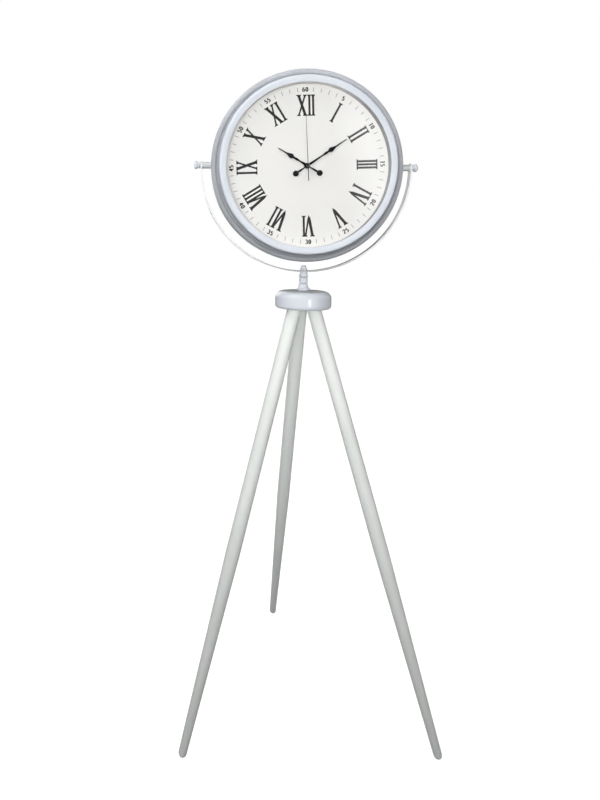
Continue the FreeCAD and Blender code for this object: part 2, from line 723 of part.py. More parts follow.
housing = new_body("movement_housing", HEAD)
pad(housing, outline(new_sketch(housing, "XY_Plane", rear), rectangle(-half, half, -D.housing_low, D.housing_top)),
    D.housing_depth)
for low, high in ((-D.room_low, D.housing_top - D.housing_wall), (bay_low, bay_high)):
    room = outline(new_sketch(housing, "XY_Plane", rear), rectangle(-inside, inside, low, high))
    pocket(housing, room, floor - rear, forward=True)
PLATE_POSTS = ((-23, 15), (14.5, 15.5), (-23, -4))
for x, y in PLATE_POSTS:
    pin(housing, 2, plate_level + plate_thick, floor + 0.4, as_size(x), as_size(y))
drill(housing, D.bush_radius)
pivots_in_floor = [(pivot_hole, third_x, third_y), (D.motion_arbor + 0.05, setting_x, setting_y)]
pocket(housing, circles(new_sketch(housing, "XY_Plane", floor), pivots_in_floor), 0.6, forward=True)

cover = new_body("movement_cover", HEAD)
pad(cover, outline(new_sketch(cover, "XY_Plane", rear), rectangle(-half, half, bay_high, D.housing_top)),
    D.cover_thick, backward=True)
drill(cover, D.motion_arbor + D.tube_play, as_size(setting_x), as_size(setting_y))
pivots_in_cover = [(pivot_hole, third_x, third_y), (pivot_hole, fourth_x, fourth_y),
                   (pivot_hole, rotor_x, rotor_y), (D.second_pin + 0.05, 0, 0)]
pocket(cover, circles(new_sketch(cover, "XY_Plane", rear), pivots_in_cover), 0.6)

bush = new_body("movement_bush", HEAD)
bush_end = floor + D.bush_length
tube_bore = D.hour_tube + D.tube_play
revolve(bush, [
    (tube_bore, floor),
    (D.bush_radius - 0.02, floor),
    (D.bush_radius - 0.02, front),
    (D.bush_flange, front),
    (D.bush_flange, board_back),
    (D.bush_radius - 0.02, board_back),
    (D.bush_radius - 0.02, bush_end),
    (tube_bore, bush_end)])

dial_washer = new_body("dial_washer", HEAD)
washer_front = dial_front + D.dial_washer_thick
tube(dial_washer, D.bush_radius + 0.05, D.dial_washer_radius, dial_front, washer_front)

bush_nut = new_body("bush_nut", HEAD)
corner = D.bush_nut_flat * (2 / math.sqrt(3))
hexagon = [(corner * math.cos(math.radians(60 * k)), corner * math.sin(math.radians(60 * k))) for k in range(6)]
pad(bush_nut, outline(new_sketch(bush_nut, "XY_Plane", washer_front), hexagon), D.bush_nut_thick)
drill(bush_nut, D.bush_radius)

train_plate = new_body("train_plate", HEAD)
pad(train_plate, outline(new_sketch(train_plate, "XY_Plane", plate_level),
                         rectangle(-26, 17, -6.5, 18)), plate_thick)
pocket(train_plate, circles(new_sketch(train_plate, "XY_Plane"), [
    (D.second_pin + 0.1, 0, 0), (pivot_hole, third_x, third_y),
    (pivot_hole, fourth_x, fourth_y), (pivot_hole, rotor_x, rotor_y)]))

# Motion work and going train, each wheel with its arbor.
module_setting = D.setting_distance * 2 / (D.cannon_teeth + D.motion_teeth)
module_hour = D.setting_distance * 2 / (D.motion_leaves + D.hour_teeth)
module_third = D.third_distance * 2 / (D.second_leaves + D.third_teeth)
module_centre = D.third_distance * 2 / (D.third_leaves + D.centre_teeth)
module_second = D.fourth_distance * 2 / (D.fourth_leaves + D.second_teeth)
module_rotor = D.rotor_distance * 2 / (D.rotor_leaves + D.fourth_teeth)
hour_level = front - 2.6
cannon_level = front - 4.6
centre_level = front - 6.6
third_level = front - 8.6
second_level = front - 10.6
fourth_level = front - 12.6
lap = (D.pinion_long - D.wheel_thick) / 2
pivot_end = rear - 0.4
hour_end = bush_end + 2.6
minute_end = hour_end + 3.2
hour_hand_level = bush_end + 1
minute_hand_level = hour_end + 0.6
second_hand_level = minute_end + 1.2

hour_wheel = new_body("hour_wheel", HEAD)
pin(hour_wheel, D.hour_tube, hour_level, hour_end)
gear(hour_wheel, D.hour_teeth, module_hour, hour_level, D.wheel_thick, SETTING)
drill(hour_wheel, D.minute_tube + D.tube_play)

minute_arbor = new_body("minute_arbor", HEAD)
pin(minute_arbor, D.minute_tube, centre_level - 0.4, minute_end)
gear(minute_arbor, D.cannon_teeth, module_setting, cannon_level - lap, D.pinion_long, SETTING)
drill(minute_arbor, D.second_pin + D.tube_play)

motion_wheel = new_body("setting_wheel", at(setting_x, setting_y))
pin(motion_wheel, D.motion_arbor, rear - D.cover_thick - D.set_knob_long, floor + 0.5)
gear(motion_wheel, D.motion_teeth, module_setting, cannon_level, D.wheel_thick,
     gap_toward(SETTING - 180, D.motion_teeth))
gear(motion_wheel, D.motion_leaves, module_hour, cannon_level, hour_level - cannon_level + D.pinion_long - lap,
     gap_toward(SETTING - 180, D.motion_leaves))

centre_wheel = new_body("centre_wheel", HEAD)
pin(centre_wheel, D.minute_tube + 1.6, centre_level, centre_level + D.wheel_thick)
gear(centre_wheel, D.centre_teeth, module_centre, centre_level, D.wheel_thick, THIRD)
drill(centre_wheel, D.minute_tube + 0.05)

clutch = new_body("clutch_spring", HEAD)
clutch_low = centre_level + D.wheel_thick
clutch_high = cannon_level - lap
revolve(clutch, [
    (D.minute_tube + 0.1, clutch_high - 0.2),
    (4.4, clutch_low),
    (4.6, clutch_low + 0.2),
    (D.minute_tube + 0.1, clutch_high)])

third_wheel = new_body("third_wheel", at(third_x, third_y))
pin(third_wheel, D.arbor_radius, pivot_end, floor + 0.5)
gear(third_wheel, D.third_teeth, module_third, third_level, D.wheel_thick,
     gap_toward(THIRD - 180, D.third_teeth))
gear(third_wheel, D.third_leaves, module_centre, third_level,
     centre_level - third_level + D.pinion_long - lap, gap_toward(THIRD - 180, D.third_leaves))

second_wheel = new_body("second_wheel", HEAD)
pin(second_wheel, D.second_pin, pivot_end, second_hand_level + 0.8)
gear(second_wheel, D.second_leaves, module_third, third_level - lap, D.pinion_long, THIRD)
gear(second_wheel, D.second_teeth, module_second, second_level, D.wheel_thick, FOURTH)

fourth_wheel = new_body("fourth_wheel", at(fourth_x, fourth_y))
pin(fourth_wheel, D.arbor_radius, pivot_end, plate_level + 0.5)
gear(fourth_wheel, D.fourth_teeth, module_rotor, fourth_level, D.wheel_thick, ROTOR)
gear(fourth_wheel, D.fourth_leaves, module_second, fourth_level,
     second_level - fourth_level + D.pinion_long - lap, gap_toward(FOURTH - 180, D.fourth_leaves))

rotor = new_body("motor_rotor", at(rotor_x, rotor_y))
pin(rotor, D.arbor_radius, pivot_end, plate_level + 0.5)
pin(rotor, D.magnet_radius, fourth_level - 2.4, fourth_level - 0.8)
gear(rotor, D.rotor_leaves, module_rotor, fourth_level - lap, D.pinion_long,
     gap_toward(ROTOR - 180, D.rotor_leaves))

# Motor, circuit and battery.
stator = new_body("motor_stator", HEAD)
stator_level = fourth_level - 2
pad(stator, outline(new_sketch(stator, "XY_Plane", stator_level), rectangle(7.6, 25, -5.4, 3.6)), D.wheel_thick)
drill(stator, D.magnet_radius + 0.4, as_size(rotor_x), as_size(rotor_y))

coil = new_body("motor_coil", HEAD * Placement(Vector(22, -8, 0), Rotation(Vector(1, 0, 0), -90)))
coil_axis = -(front - 10.1)
for radius, low, high in ((2.6, 0, 20), (3.4, 0, 1.2), (3.4, 18.8, 20)):
    pin(coil, radius, as_size(low), as_size(high), ZERO, coil_axis)

circuit = new_body("circuit_board", HEAD)
circuit_level = rear + 0.8
pad(circuit, outline(new_sketch(circuit, "XY_Plane", circuit_level), rectangle(-26, -14, -18.5, -7.5)), D.wheel_thick)
pad(circuit, outline(new_sketch(circuit, "XY_Plane", circuit_level + D.wheel_thick),
                     rectangle(-18, -15, -17, -14)), 0.9)

quartz = new_body("quartz_can", HEAD * Placement(Vector(-24.5, 0, circuit_level.number + 1.85),
                                                Rotation(Vector(0, 1, 0), 90)))
pin(quartz, 1, ZERO, as_size(6), ZERO, as_size(-10))

cell_y = (bay_high.number + bay_low.number) / 2
cell_level = floor - D.battery_radius - 0.3
battery = new_body("battery", HEAD * Placement(Vector(0, cell_y, cell_level.number), Rotation(Vector(0, 1, 0), 90)))
cell_half = D.battery_length / 2
revolve(battery, [
    (0, -cell_half),
    (D.battery_radius - 0.6, -cell_half, 0.6, 1),
    (D.battery_radius, -cell_half + 0.6),
    (D.battery_radius, cell_half - 0.6, 0.6, 1),
    (D.battery_radius - 0.6, cell_half),
    (D.battery_stud, cell_half),
    (D.battery_stud, cell_half + 1),
    (0, cell_half + 1)])
for label, low, high in (("battery_contact_plus", inside - 0.6, inside - 0.1),
                         ("battery_contact_minus", 0.1 - inside, 0.6 - inside)):
    contact = new_body(label, HEAD * Placement(Vector(0, cell_y, 0), Rotation()))
    strip = outline(new_sketch(contact, "XY_Plane", rear + 1), rectangle(low, high, -6, 6))
    pad(contact, strip, 12)
spring = outline(new_sketch(contact, "XY_Plane", cell_level - 2), [
    (0.5 - inside, -3.4),
    (1.8 - inside, 0),
    (0.5 - inside, 3.4),
    (0.5 - inside, 2.8),
    (1.3 - inside, 0),
    (0.5 - inside, -2.8)])
pad(contact, spring, 4)

set_knob = new_body("set_knob", at(setting_x, setting_y))
knob_face = rear - D.cover_thick - 0.4
pad(set_knob, circles(new_sketch(set_knob, "XY_Plane", knob_face), [(D.set_knob_radius, 0, 0)]),
    D.set_knob_long, backward=True)
flute = circles(new_sketch(set_knob, "XY_Plane", knob_face), [(0.6, D.set_knob_radius + 0.25, 0)])
polar(set_knob, pocket(set_knob, flute, D.set_knob_long), as_size(24))
pocket(set_knob, circles(new_sketch(set_knob, "XY_Plane", knob_face), [(D.motion_arbor + 0.01, 0, 0)]),
       D.set_knob_long - 0.2)


# Hands: flat blades with a spade swelling and a ball tail, pointing up local Y and turned to their rest.
def turned_hand(label, rest):
    return new_body(label, HEAD * Placement(Vector(), Rotation(Vector(0, 0, 1), -rest.number)))


def spade_hand(label, rest, level, length, swell, boss, bore):
    """A blade with a small leaf and a round spade, a needle tip beyond them, and a ball on the tail."""
    body = turned_hand(label, rest)
    half_blade = [(1.7, -D.tail_length), (2.4, -21), (1.3, -9), (2.7, 9),
                  (1.4, swell - 24), (2.8, swell - 14), (1.9, swell - 8),
                  (5, swell + 2), (1.7, swell + 12), (1, length)]
    blade = half_blade + [(-as_size(width), along) for width, along in reversed(half_blade)]
    pad(body, outline(new_sketch(body, "XY_Plane", level), blade), D.hand_thick)
    for radius, along in ((boss, ZERO), (D.swell_radius, swell), (D.ball_radius, -D.tail_length)):
        pad(body, circles(new_sketch(body, "XY_Plane", level), [(radius, 0, along)]), D.hand_thick)
    drill(body, bore)


spade_hand("hour_hand", D.hour_rest, hour_hand_level, D.hour_length, D.hour_swell,
           D.hour_tube + 3, D.hour_tube + 0.01)
spade_hand("minute_hand", D.minute_rest, minute_hand_level, D.minute_length, D.minute_swell,
           D.minute_tube + 3, D.minute_tube + 0.01)

hand_nut = new_body("hand_nut", HEAD)
nut_low = minute_hand_level + D.hand_thick
tube(hand_nut, D.minute_tube + 0.01, D.minute_tube + 2, nut_low, minute_end + 0.3)

second_hand = turned_hand("second_hand", D.second_rest)
needle = [(0.7, 0), (0.35, D.second_length), (-0.35, D.second_length), (-0.7, 0),
          (-0.9, -D.second_tail), (0.9, -D.second_tail)]
pad(second_hand, outline(new_sketch(second_hand, "XY_Plane", second_hand_level), needle), D.hand_thick / 2)
pin(second_hand, 2, second_hand_level - 0.5, second_hand_level + 1.1)
pocket(second_hand, circles(new_sketch(second_hand, "XY_Plane", second_hand_level - 0.5),
                            [(D.second_pin + 0.01, 0, 0)]), 1.4, forward=True)

doc.recompute()
for item in doc.Objects:
    if {"Invalid", "Error"} & set(item.State):
        raise RuntimeError(f"{item.Name} ({item.Label}) did not build: {item.State}")
for node in nodes:
    shape = node.Shape
    if shape.isNull() or not shape.isValid():
        raise RuntimeError(f"{node.Label} has no sound shape")
    shape.exportStep(f"parts/{node.Label}.step")
    print(f"{node.Label}: {len(shape.Solids)} solids, {shape.Volume / 1000:.3f} cm3")
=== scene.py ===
# %% [markdown]
# # A floor clock on three legs
# A round clock hangs between two pivots in a bent yoke, and the yoke stands on three turned legs. Its solids
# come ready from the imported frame, in metres. This lesson gives them their finishes, prints the dial, sets up
# a small studio and puts the camera where the photograph was taken.

# %% Load the frame
import math

import bpy
import numpy as np
from mathutils import Matrix, Vector


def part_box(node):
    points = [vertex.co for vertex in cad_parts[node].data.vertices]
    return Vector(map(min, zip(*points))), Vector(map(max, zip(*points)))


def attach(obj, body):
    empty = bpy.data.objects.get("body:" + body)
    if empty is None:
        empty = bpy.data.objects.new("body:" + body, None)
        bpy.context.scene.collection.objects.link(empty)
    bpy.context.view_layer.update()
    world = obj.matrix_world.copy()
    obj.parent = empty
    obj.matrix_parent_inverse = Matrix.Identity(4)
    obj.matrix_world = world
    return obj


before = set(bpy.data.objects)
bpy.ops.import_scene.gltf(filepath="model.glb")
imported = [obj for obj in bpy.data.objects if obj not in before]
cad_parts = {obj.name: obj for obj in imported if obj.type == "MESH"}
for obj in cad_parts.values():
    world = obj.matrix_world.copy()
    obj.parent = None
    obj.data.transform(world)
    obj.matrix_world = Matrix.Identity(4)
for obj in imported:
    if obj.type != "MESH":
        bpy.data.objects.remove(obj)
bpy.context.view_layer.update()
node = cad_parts

# %% [markdown]
# ## The camera
# The photograph is a crop, so its optical axis isn't in the middle of the picture. A camera in Blender takes
# that as lens shift. The eye is a little left of the clock and a little above the hub, which is why the case
# shows its right inner wall and the underside of its rim.

# %% Place the camera
IMAGE_WIDE, IMAGE_HIGH = 600, 800
FOCAL_PIXELS = 570.3
AXIS_X, AXIS_Y = 179, 260
SENSOR = 36
EYE = Vector((-0.2986, -1.3261, 1.0927))
YAW, PITCH, ROLL = (math.radians(angle) for angle in (0.34, -2.04, 0.73))

forward = Vector((math.sin(YAW) * math.cos(PITCH), math.cos(YAW) * math.cos(PITCH), math.sin(PITCH)))
level_right = Vector((math.cos(YAW), -math.sin(YAW), 0))
level_up = level_right.cross(forward)
right = math.cos(ROLL) * level_right + math.sin(ROLL) * level_up
up = math.cos(ROLL) * level_up - math.sin(ROLL) * level_right

camera = bpy.data.objects.new("camera", bpy.data.cameras.new("camera"))
bpy.context.scene.collection.objects.link(camera)
camera.data.sensor_width = SENSOR
camera.data.lens = FOCAL_PIXELS / IMAGE_HIGH * SENSOR
camera.data.shift_x = (IMAGE_WIDE / 2 - AXIS_X) / IMAGE_HIGH
camera.data.shift_y = (AXIS_Y - IMAGE_HIGH / 2) / IMAGE_HIGH
camera.matrix_world = Matrix.Translation(EYE) @ Matrix((right, up, -forward)).transposed().to_4x4()
bpy.context.scene.camera = camera
print(f"lens {camera.data.lens:.2f} mm, shift {camera.data.shift_x:.3f}, {camera.data.shift_y:.3f}")

# %% [markdown]
# ## Helpers for nodes
# A material is a tree of nodes. One helper adds a node and fills its inputs, and short ones on top of it stand
# for the nodes that come up again and again: noise, a ramp, a mix of two colours, a sum, a wave.

# %% Node helpers
def srgb(red, green, blue):
    """A screen colour of 0 to 255 as the linear colour that a shader takes: the sRGB curve, undone."""
    screen = np.array([red, green, blue]) / 255
    return (*np.where(screen > 0.04045, ((screen + 0.055) / 1.055) ** 2.4, screen / 12.92).tolist(), 1.0)


def add(tree, kind, inputs=None, **settings):
    """Adds a node, sets its properties, then its inputs; an input given as a socket is linked."""
    made = tree.nodes.new("ShaderNode" + kind)
    for name, value in settings.items():
        setattr(made, name, value)
    for name, value in (inputs or {}).items():
        if isinstance(value, bpy.types.NodeSocket):
            tree.links.new(value, made.inputs[name])
        else:
            made.inputs[name].default_value = value
    return made


def coordinate(tree, place, axis):
    """The X, Y or Z of a place."""
    return add(tree, "SeparateXYZ", {0: place}).outputs[axis]


def noise(tree, vector, scale, detail=2.0):
    """Smooth noise about 0.5, with scale features to the metre."""
    return add(tree, "TexNoise", {"Vector": vector, "Scale": scale, "Detail": detail}).outputs[0]


def ramp(tree, value, low, high, to_low=0.0, to_high=1.0):
    """Carries low..high to to_low..to_high in a straight line and stops at both ends."""
    return add(tree, "MapRange", {"Value": value, "From Min": low, "From Max": high,
                                  "To Min": to_low, "To Max": to_high}).outputs[0]


def mix(tree, share, first, second):
    """The first colour at share 0 and the second at share 1."""
    return add(tree, "Mix", {0: share, 6: first, 7: second}, data_type="RGBA").outputs[2]


def maths(tree, operation, first, second=0.0):
    """One operation on two values, or on the first alone."""
    return add(tree, "Math", {0: first, 1: second}, operation=operation).outputs[0]


def wave(tree, value, pitch):
    """The sine of a length in metres, one period to each pitch."""
    return maths(tree, "SINE", maths(tree, "MULTIPLY", value, 2 * math.pi / pitch))


# %% [markdown]
# ## Helpers for materials
# One helper opens a material, and one closes it with the Principled shader. An effect that several finishes
# share is a node group with named sockets, built once. All groups here are skins: they take a place and a few
# values, and put out a colour, a roughness and a height for the bump.

# %% Material helpers
FINE_RELIEF = 0.00001


def new_material(name):
    """An empty material and its tree, with the object's own coordinates in metres."""
    made = bpy.data.materials.new(name)
    made.use_nodes = True
    made.node_tree.nodes.clear()
    place = add(made.node_tree, "TexCoord").outputs["Object"]
    return made, made.node_tree, place


def surface(tree, inputs, height, relief):
    """Closes a material with the Principled shader; height 0 to 1 becomes a bump of relief metres."""
    bump = add(tree, "Bump", {"Height": height, "Distance": relief}).outputs[0]
    shader = add(tree, "BsdfPrincipled", {**inputs, "Normal": bump}).outputs[0]
    add(tree, "OutputMaterial", {"Surface": shader})


def dress(material, *names):
    """Puts a material on CAD nodes."""
    for name in names:
        for slot in node[name].material_slots:
            slot.material = material
    print(f"{material.name}: {', '.join(names)}")


def new_skin(name, inputs):
    """An empty node group with a Vector and the inputs, each a name, kind and start value, and with a Colour, a
    Roughness and a Height to put out; its own two ends come back, with their sockets by name."""
    tree = bpy.data.node_groups.new(name, "ShaderNodeTree")
    tree.interface.new_socket("Vector", in_out="INPUT", socket_type="NodeSocketVector")
    for label, kind, start in inputs:
        socket = tree.interface.new_socket(label, in_out="INPUT", socket_type="NodeSocket" + kind)
        socket.default_value = start
    for label, kind in (("Colour", "Color"), ("Roughness", "Float"), ("Height", "Float")):
        tree.interface.new_socket(label, in_out="OUTPUT", socket_type="NodeSocket" + kind)
    return tree, tree.nodes.new("NodeGroupInput").outputs, tree.nodes.new("NodeGroupOutput").inputs


def place_skin(tree, group, place, **values):
    """Places a skin in a material with the material's own values; what it puts out comes back by name."""
    return add(tree, "Group", {"Vector": place, **values}, node_tree=group).outputs


# %% [markdown]
# ## Sprayed paint
# Nearly everything in sight is sprayed white. Sprayed paint is never one flat colour: the film is thicker in
# places and drifts in tint, it dries with a fine orange peel, and hands leave it a little duller here and
# there. The group below has those three, and each painted finish places it with its own values.

# %% Build the sprayed paint group
DRIFTS, SMUDGES, SMUDGE_DULL = 9.0, 34.0, 0.10
paint, given, out = new_skin("sprayed_paint", [
    ("Colour", "Color", (0.8, 0.8, 0.8, 1)), ("Thin", "Color", (0.7, 0.7, 0.7, 1)),
    ("Peel", "Float", 600.0), ("Gloss", "Float", 0.25)])
drift = ramp(paint, noise(paint, given["Vector"], DRIFTS), 0.35, 0.65)
smudge = ramp(paint, noise(paint, given["Vector"], SMUDGES, 4.0), 0.35, 0.75, 0.0, SMUDGE_DULL)
paint.links.new(mix(paint, drift, given["Colour"], given["Thin"]), out["Colour"])
paint.links.new(maths(paint, "ADD", given["Gloss"], smudge), out["Roughness"])
paint.links.new(noise(paint, given["Vector"], given["Peel"], 1.0), out["Height"])
print("sprayed_paint has", len(paint.nodes), "nodes")

# %% [markdown]
# ## Painted shade on the enamel
# The metal of the clock is enamelled white. Case and yoke are painted greyer toward the underside, and the
# yoke's inner face as grey as its underside: this is painted shade, where less light falls. The hub's flat top
# and the two grooves of the spindle get painted shade too. All this could be a painted mask, but each place
# lies at some height, or at some distance from the dial's axis, so a ramp finds it and the solids need no UV
# map.

# %% Find the places of painted shade
HUB_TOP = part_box("hub")[1].z
PIVOT = (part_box("glass")[0].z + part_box("glass")[1].z) / 2
EDGE_BLEND, YOKE_INNER_SHADE = 0.0006, 0.2405
GROOVES, GROOVE_HALF = (0.0183, 0.0323), 0.0009
CASE_SHADE_BAND, YOKE_SHADE_BAND = (-0.2, 0.2), (-0.238, -0.198)


def hub_flat(tree, place):
    """1 on the flat top of the hub, where painted shade goes, and 0 on its round edge."""
    return ramp(tree, coordinate(tree, place, "Z"), HUB_TOP - EDGE_BLEND, HUB_TOP - EDGE_BLEND / 3)


def spindle_grooves(tree, place):
    """Painted shade: 1 in the two grooves of the spindle and 0 away from them, by the distance in height from
    each middle.
    """
    height = coordinate(tree, place, "Z")
    shares = []
    for groove in GROOVES:
        away = maths(tree, "ABSOLUTE", maths(tree, "SUBTRACT", height, HUB_TOP + groove))
        shares.append(ramp(tree, away, GROOVE_HALF, GROOVE_HALF + EDGE_BLEND, 1.0, 0.0))
    return maths(tree, "MAXIMUM", *shares)


def greyer_below(bottom, top, within=0.0):
    """Painted shade for enamel: the high tone from a height top, in metres from the pivots, and the darker low
    one from bottom down and also within a distance of the dial's axis."""
    def shade(tree, place, high, low):
        share = ramp(tree, coordinate(tree, place, "Z"), PIVOT + bottom, PIVOT + top)
        if within:
            aside = add(tree, "Mapping", {"Vector": place, "Location": (0, 0, -PIVOT),
                                          "Scale": (1, 0, 1)}).outputs[0]
            away = add(tree, "VectorMath", {0: aside}, operation="LENGTH").outputs["Value"]
            share = maths(tree, "MINIMUM", share, ramp(tree, away, within, within + EDGE_BLEND))
        return mix(tree, share, low, high)
    return shade


print(f"hub top at {HUB_TOP:.4f} m, pivots at {PIVOT:.4f} m")

# %% [markdown]
# ## White enamel
# The enamel is a cool white with a touch of lavender. The case behind the bezel is set a tone greyer, as
# painted shade, and the yoke a tone paler, as painted light, though all of it is one paint. Its film has a soft
# gloss, and a thin clear coat on top gives the small hard reflections. Where painted shade goes, the finish
# goes over to a grey, grainy and matt film without a coat. The pieces differ in little more than their tones,
# so one function makes all of these finishes.

# %% Enamel the metal
WHITE, WHITE_THIN = srgb(224, 229, 237), srgb(218, 223, 232)
HUB_WHITE, HUB_THIN = srgb(222, 227, 234), srgb(216, 221, 229)
# The yoke's tones: a paler copy of the white enamel, which is painted light, and a grey one for painted shade.
YOKE_LIT, YOKE_SHADED = srgb(244, 246, 248), srgb(180, 183, 182)
# The case's tones: a greyer copy of the white enamel, which is painted shade, and a darker one for its
# underside.
CASE_SHADED, CASE_SHADED_LOW = srgb(190, 193, 199), srgb(154, 157, 162)
SLEEVE, SLEEVE_THIN = srgb(206, 210, 211), srgb(199, 203, 204)
# Grey matt tones of painted shade, for the hub's flat top and the spindle's grooves.
SHADE_MATT, SHADE_MATT_DARK = srgb(190, 193, 193), srgb(178, 181, 181)
WIDE_PEEL, FINE_PEEL, PEEL_RELIEF = 600.0, 900.0, 0.00002
COAT, COAT_DULL, BLEND_DRIFT = 0.25, 0.08, 0.06


def enamel(name, tone, thin, gloss, peel=WIDE_PEEL, painted_shade_share=None, shade=None):
    """Gloss enamel; its share function gives the share, 0 to 1, of painted shade, a grey and matt film instead,
    and shade blends the two tones by place, also as painted shade, so that the film drifts only a little about
    the blend."""
    made, tree, place = new_material(name)
    if shade is not None:
        tone = shade(tree, place, tone, thin)
        thin = mix(tree, BLEND_DRIFT, tone, (0, 0, 0, 1))
    film = place_skin(tree, paint, place, Colour=tone, Thin=thin, Peel=peel, Gloss=gloss)
    colour, rough, coat = film["Colour"], film["Roughness"], COAT
    if painted_shade_share is not None:
        # Painted shade: a grey, grainy, matt film without a coat.
        share = painted_shade_share(tree, place)
        grain = ramp(tree, noise(tree, place, 60.0, 5.0), 0.3, 0.7)
        colour = mix(tree, share, colour, mix(tree, grain, SHADE_MATT, SHADE_MATT_DARK))
        rough = ramp(tree, share, 0.0, 1.0, rough, 1.0)
        coat = ramp(tree, share, 0.0, 1.0, COAT, 0.0)
    surface(tree, {"Base Color": colour, "Roughness": rough, "Coat Weight": coat, "Coat Roughness": COAT_DULL},
            film["Height"], PEEL_RELIEF)
    return made


dress(enamel("bezel_enamel", WHITE, WHITE_THIN, 0.36), "bezel")
# The case ring: greyer tone and darker underside, both painted shade.
dress(enamel("case_enamel", CASE_SHADED, CASE_SHADED_LOW, 0.32, shade=greyer_below(*CASE_SHADE_BAND)), "case_ring")
# Hub and spindle: painted shade on the hub's flat top and in the spindle's two grooves.
dress(enamel("hub_enamel", HUB_WHITE, HUB_THIN, 0.28, painted_shade_share=hub_flat), "hub")
dress(enamel("spindle_enamel", HUB_WHITE, HUB_THIN, 0.28, FINE_PEEL, painted_shade_share=spindle_grooves), "spindle")
dress(enamel("column_enamel", HUB_WHITE, HUB_THIN, 0.28, FINE_PEEL), "cap_nut", "knob_left", "knob_right")
dress(enamel("sleeve_enamel", SLEEVE, SLEEVE_THIN, 0.34, FINE_PEEL), "pivot_sleeves")
# The yoke: paler tone as painted light, with painted shade on its underside and inner face.
dress(enamel("yoke_enamel", YOKE_LIT, YOKE_SHADED, 0.30, shade=greyer_below(*YOKE_SHADE_BAND, YOKE_INNER_SHADE)), "yoke_strap")

# %% [markdown]
# ## Painted legs
# The legs are turned wood under a satin white that is a little greener than the enamel. Under thin paint the
# grain still shows as long shallow lines. The grain has to run along each leg, so the coordinates are turned
# into the leg's own direction, which is measured from its mesh, and stretched along it.

# %% Paint the legs
LEG, LEG_THIN = srgb(247, 250, 247), srgb(241, 245, 241)
GRAIN_LINES, GRAIN_STRETCH = 420.0, 30.0
GRAIN_SHARE, GRAIN_RELIEF = 0.5, 0.00006


def leg_direction(name):
    """From the middle of the lowest tenth of the leg's points to that of the highest tenth."""
    points = np.array([corner.co for corner in node[name].data.vertices])
    order = np.argsort(points[:, 2])
    tenth = max(len(order) // 10, 1)
    return Vector(points[order[-tenth:]].mean(0) - points[order[:tenth]].mean(0)).normalized()


for leg in ("leg_front_left", "leg_front_right", "leg_rear"):
    direction = leg_direction(leg)
    satin, tree, place = new_material(leg + "_paint")
    along = add(tree, "Mapping", {"Vector": place, "Rotation": direction.to_track_quat("Z", "Y").to_euler(),
                                  "Scale": (1, 1, GRAIN_STRETCH)}, vector_type="TEXTURE").outputs[0]
    film = place_skin(tree, paint, place, Colour=LEG, Thin=LEG_THIN, Peel=500.0, Gloss=0.42)
    lines = ramp(tree, noise(tree, along, GRAIN_LINES, 4.0), 0.3, 0.7)
    colour = mix(tree, ramp(tree, lines, 0.0, 1.0, 0.0, GRAIN_SHARE), film["Colour"], LEG_THIN)
    surface(tree, {"Base Color": colour, "Roughness": film["Roughness"]}, lines, GRAIN_RELIEF)
    dress(satin, leg)
    print(f"  {leg} leans {math.degrees(direction.angle((0, 0, 1))):.1f} degrees")

# %% [markdown]
# ## Card, spacer and glass
# Behind the glass lies a printed card, held off it by a spacer ring of which only a thin edge shows. In the
# photograph that edge is pale at the left and grey at the right, so its tone is blended across; the grey at the
# right is painted shade. Card is matt and faintly mottled. The glass is a real pane with two faces, so it
# reflects twice. Blender's shadow rays stop at glass, so for those rays, and for bounced light, it is simply
# clear.

# %% Finish the dial's card, spacer and glass
CARD, CARD_FIBRE, CARD_CLOUD = srgb(244, 242, 240), srgb(241, 239, 236), srgb(242, 240, 238)
SPACER_LEFT, SPACER_LEFT_THIN = srgb(238, 238, 235), srgb(232, 232, 229)
# The spacer ring's grey tones for its right side are painted shade.
SPACER_SHADED, SPACER_SHADED_THIN = srgb(134, 136, 136), srgb(126, 128, 128)
SPACER_SHADE_BLEND = 0.03, 0.13
GLASS_TINT, GLASS_IOR, WIPE_MARKS = (0.99, 1, 0.995, 1), 1.5, 0.02

card, tree, place = new_material("dial_card")
fibre = ramp(tree, noise(tree, place, 1500.0, 3.0), 0.3, 0.7)
cloud = ramp(tree, noise(tree, place, 11.0), 0.35, 0.65)
colour = mix(tree, cloud, mix(tree, fibre, CARD, CARD_FIBRE), CARD_CLOUD)
surface(tree, {"Base Color": colour, "Roughness": ramp(tree, fibre, 0, 1, 0.62, 0.75),
               "Specular IOR Level": 0.3}, fibre, FINE_RELIEF)
dress(card, "dial_plate")

ring, tree, place = new_material("spacer_shaded_grey")
# Painted shade: the spacer ring goes from pale at the left to grey at the right, blended across X.
aside = ramp(tree, coordinate(tree, place, "X"), *SPACER_SHADE_BLEND)
film = place_skin(tree, paint, place, Colour=mix(tree, aside, SPACER_LEFT, SPACER_SHADED),
                  Thin=mix(tree, aside, SPACER_LEFT_THIN, SPACER_SHADED_THIN), Peel=800.0, Gloss=0.5)
surface(tree, {"Base Color": film["Colour"], "Roughness": film["Roughness"]}, film["Height"], PEEL_RELIEF)
dress(ring, "spacer_ring")

pane, tree, place = new_material("dial_glass")
wipe = ramp(tree, noise(tree, place, 18.0, 4.0), 0.45, 0.75, 0.0, WIPE_MARKS)
clear = add(tree, "BsdfTransparent").outputs[0]
path = add(tree, "LightPath").outputs
glassy = add(tree, "BsdfPrincipled", {"Base Color": GLASS_TINT, "Roughness": wipe, "IOR": GLASS_IOR,
                                      "Transmission Weight": 1.0}).outputs[0]
unseen = maths(tree, "MAXIMUM", path["Is Shadow Ray"], path["Is Diffuse Ray"])
mixed = add(tree, "MixShader", {0: unseen, 1: glassy, 2: clear}).outputs[0]
add(tree, "OutputMaterial", {"Surface": mixed})
dress(pane, "glass")

